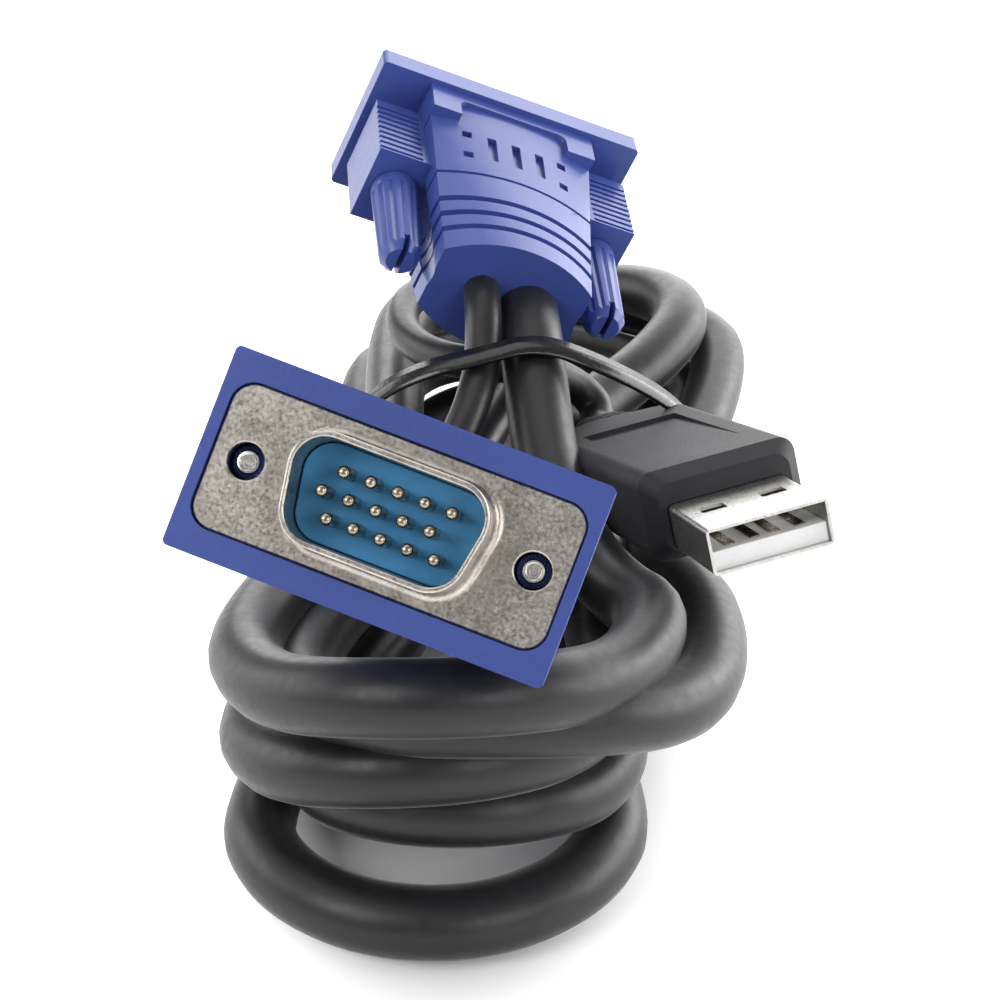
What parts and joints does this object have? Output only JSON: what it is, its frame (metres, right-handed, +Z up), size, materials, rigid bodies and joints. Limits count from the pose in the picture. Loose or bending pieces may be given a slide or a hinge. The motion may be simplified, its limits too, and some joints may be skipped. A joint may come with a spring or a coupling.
{
  "type": "kvm cable",
  "caption": "Black combined video and USB cable wound into a hank and held by a tie, with blue screw-in video plugs and a USB plug.",
  "frame": {"origin": "middle of the part's outline on the surface that the hank lies on", "axes": "+Z up; +Y along the hank, from the front video plug to the rear one; +X towards the USB plug"},
  "size_m": [0.0594, 0.1368, 0.0599],
  "materials": {
    "hood": "satin moulded blue",
    "nickel": "dull nickel plate",
    "insulator": "satin teal blue",
    "gold": "thin gold flash",
    "screw": "nickel-plated",
    "usb_steel": "bright nickel plate",
    "usb_white": "smooth white",
    "usb_grip": "matte moulded",
    "cable": "satin black jacket",
    "tie": "glossy black"
  },
  "bodies": {
    "cable": {"front_shell": "nickel", "front_insulator": "insulator", "front_pins": "gold", "front_hood": "hood", "rear_shell": "nickel", "rear_insulator": "insulator", "rear_pins": "gold", "rear_hood": "hood", "usb_shell": "usb_steel", "usb_tongue": "usb_white", "usb_contacts": "gold", "usb_mould": "usb_grip", "rear_lead": "cable", "front_lead": "cable", "usb_lead": "cable", "cable_hank": "cable", "tie": "tie"},
    "front_left_thumbscrew": {"front_left_knob": "hood", "front_left_screw": "screw"},
    "front_right_thumbscrew": {"front_right_knob": "hood", "front_right_screw": "screw"},
    "rear_left_thumbscrew": {"rear_left_knob": "hood", "rear_left_screw": "screw"},
    "rear_right_thumbscrew": {"rear_right_knob": "hood", "rear_right_screw": "screw"}
  },
  "joints": [
    {"name": "front_left_turn", "type": "hinge", "parent": "cable", "child": "front_left_thumbscrew", "pos_m": [-0.02141, -0.03982, 0.04151], "axis": [-0.0617, -0.8586, 0.5089], "continuous": true},
    {"name": "front_right_turn", "type": "hinge", "parent": "cable", "child": "front_right_thumbscrew", "pos_m": [0.00188, -0.04563, 0.03454], "axis": [-0.0617, -0.8586, 0.5089], "continuous": true},
    {"name": "rear_left_turn", "type": "hinge", "parent": "cable", "child": "rear_left_thumbscrew", "pos_m": [0.00901, 0.02371, 0.03428], "axis": [-0.0822, 0.9764, 0.1997], "continuous": true},
    {"name": "rear_right_turn", "type": "hinge", "parent": "cable", "child": "rear_right_thumbscrew", "pos_m": [-0.01372, 0.01983, 0.04393], "axis": [-0.0822, 0.9764, 0.1997], "continuous": true}
  ]
}
